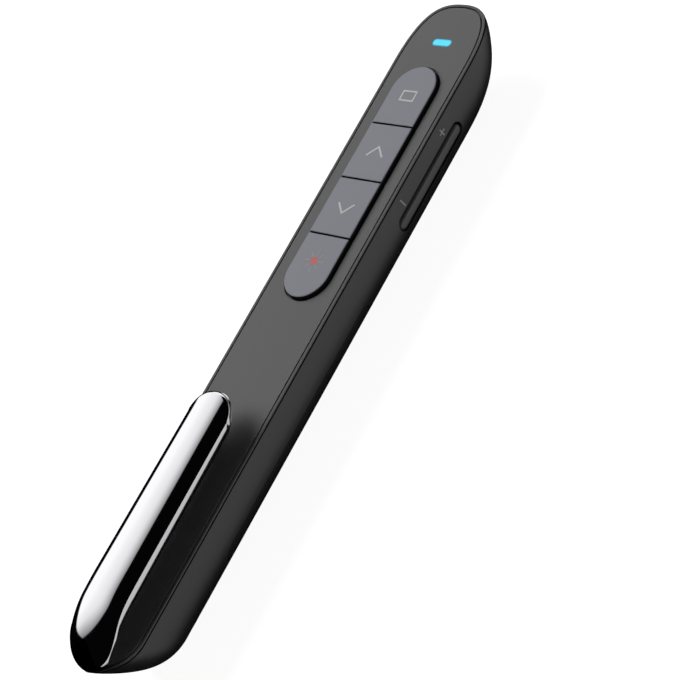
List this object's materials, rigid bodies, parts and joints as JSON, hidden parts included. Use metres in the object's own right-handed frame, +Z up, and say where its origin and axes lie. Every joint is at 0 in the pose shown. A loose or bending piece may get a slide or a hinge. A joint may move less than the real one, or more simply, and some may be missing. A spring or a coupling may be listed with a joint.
{
  "type": "wireless presentation clicker",
  "caption": "Slim handheld slide clicker with a pointer light: top keys, side rocker, power slider, battery door, stowed receiver and a spring clip.",
  "frame": {"origin": "centre of the resting face, under the middle of the body", "axes": "+X towards the nose, +Y to the left seen from the tail, +Z up out of the key panel"},
  "size_m": [0.1495, 0.02, 0.0195],
  "materials": {
    "shell_plastic": "satin near-black moulded housing",
    "frame_plastic": "satin dark grey moulded bezel",
    "panel_metal": "dark grey anodised plate, finely brushed along its length",
    "key_plastic": "satin blue-grey moulded key with printed icons",
    "rocker_plastic": "satin dark grey moulded rocker",
    "slider_plastic": "satin moulded slider with grip grooves",
    "clip_plastic": "black chrome-like lacquer over a moulded clip",
    "door_plastic": "satin near-black moulded door",
    "status_light": "cyan tinted light pipe",
    "board_laminate": "green solder mask over glass fibre laminate",
    "chip_epoxy": "moulded black epoxy",
    "switch_steel": "stamped switch shield",
    "plunger_plastic": "moulded switch stem",
    "can_steel": "drawn nickel-plated can",
    "capacitor_ceramic": "tan fired ceramic",
    "led_package": "white moulded package",
    "turned_brass": "turned barrel",
    "clear_glass": "polished clear glass",
    "cell_can": "plain printed steel can",
    "spring_steel": "nickel-plated spring wire and contact strip",
    "plug_steel": "folded nickel-plated sleeve",
    "magnet_nickel": "nickel-plated disc",
    "screw_steel": "zinc-plated screw"
  },
  "bodies": {
    "casing": {"lower_housing": "shell_plastic", "upper_frame": "frame_plastic", "top_panel": "panel_metal", "main_board": "board_laminate", "key_switches": "switch_steel", "side_switches": "switch_steel", "power_switch": "switch_steel", "controller_chip": "chip_epoxy", "radio_chip": "chip_epoxy", "crystal_can": "can_steel", "board_capacitors": "capacitor_ceramic", "board_screws": "screw_steel", "led_chip": "led_package", "led_light_pipe": "status_light", "laser_barrel": "turned_brass", "laser_diode": "can_steel", "laser_lens": "clear_glass", "laser_window": "clear_glass", "battery_cell": "cell_can", "battery_spring": "spring_steel", "negative_contact": "spring_steel", "positive_contact": "spring_steel", "receiver_magnet": "magnet_nickel", "rocker_pin": "spring_steel", "clip_root": "clip_plastic"},
    "stop_key": {"key_stop": "key_plastic", "plunger_stop": "plunger_plastic"},
    "up_key": {"key_up": "key_plastic", "plunger_up": "plunger_plastic"},
    "down_key": {"key_down": "key_plastic", "plunger_down": "plunger_plastic"},
    "laser_key": {"key_laser": "key_plastic", "plunger_laser": "plunger_plastic"},
    "rocker": {"volume_rocker": "rocker_plastic", "side_plungers": "plunger_plastic"},
    "power_slider": {"power_knob": "slider_plastic", "power_lever": "plunger_plastic"},
    "door": {"battery_door": "door_plastic"},
    "receiver": {"receiver_cap": "shell_plastic", "receiver_shell": "plug_steel", "receiver_tongue": "plunger_plastic"},
    "clip": {"clip_blade": "clip_plastic"}
  },
  "joints": [
    {"name": "stop_key_press", "type": "slide", "parent": "casing", "child": "stop_key", "axis": [0, 0, -1], "range_m": [0, 0.00035], "stiffness_N_per_m": 800},
    {"name": "up_key_press", "type": "slide", "parent": "casing", "child": "up_key", "axis": [0, 0, -1], "range_m": [0, 0.00035], "stiffness_N_per_m": 800},
    {"name": "down_key_press", "type": "slide", "parent": "casing", "child": "down_key", "axis": [0, 0, -1], "range_m": [0, 0.00035], "stiffness_N_per_m": 800},
    {"name": "laser_key_press", "type": "slide", "parent": "casing", "child": "laser_key", "axis": [0, 0, -1], "range_m": [0, 0.00035], "stiffness_N_per_m": 800},
    {"name": "rocker_tilt", "type": "hinge", "parent": "casing", "child": "rocker", "pos_m": [0.0385, -0.0073, 0.0076], "axis": [0, 0, 1], "range_deg": [-2.5, 2.5], "stiffness_Nm_per_rad": 0.05},
    {"name": "power_slide", "type": "slide", "parent": "casing", "child": "power_slider", "axis": [1, 0, 0], "range_m": [-0.0025, 0]},
    {"name": "door_lift", "type": "slide", "parent": "casing", "child": "door", "axis": [0, 0, -1], "range_m": [0, 0.014]},
    {"name": "receiver_pull", "type": "slide", "parent": "casing", "child": "receiver", "axis": [-1, 0, 0], "range_m": [0, 0.02]},
    {"name": "clip_flex", "type": "hinge", "parent": "casing", "child": "clip", "pos_m": [-0.064, 0, 0.0195], "axis": [0, -1, 0], "range_deg": [0, 4.5], "stiffness_Nm_per_rad": 0.8}
  ]
}
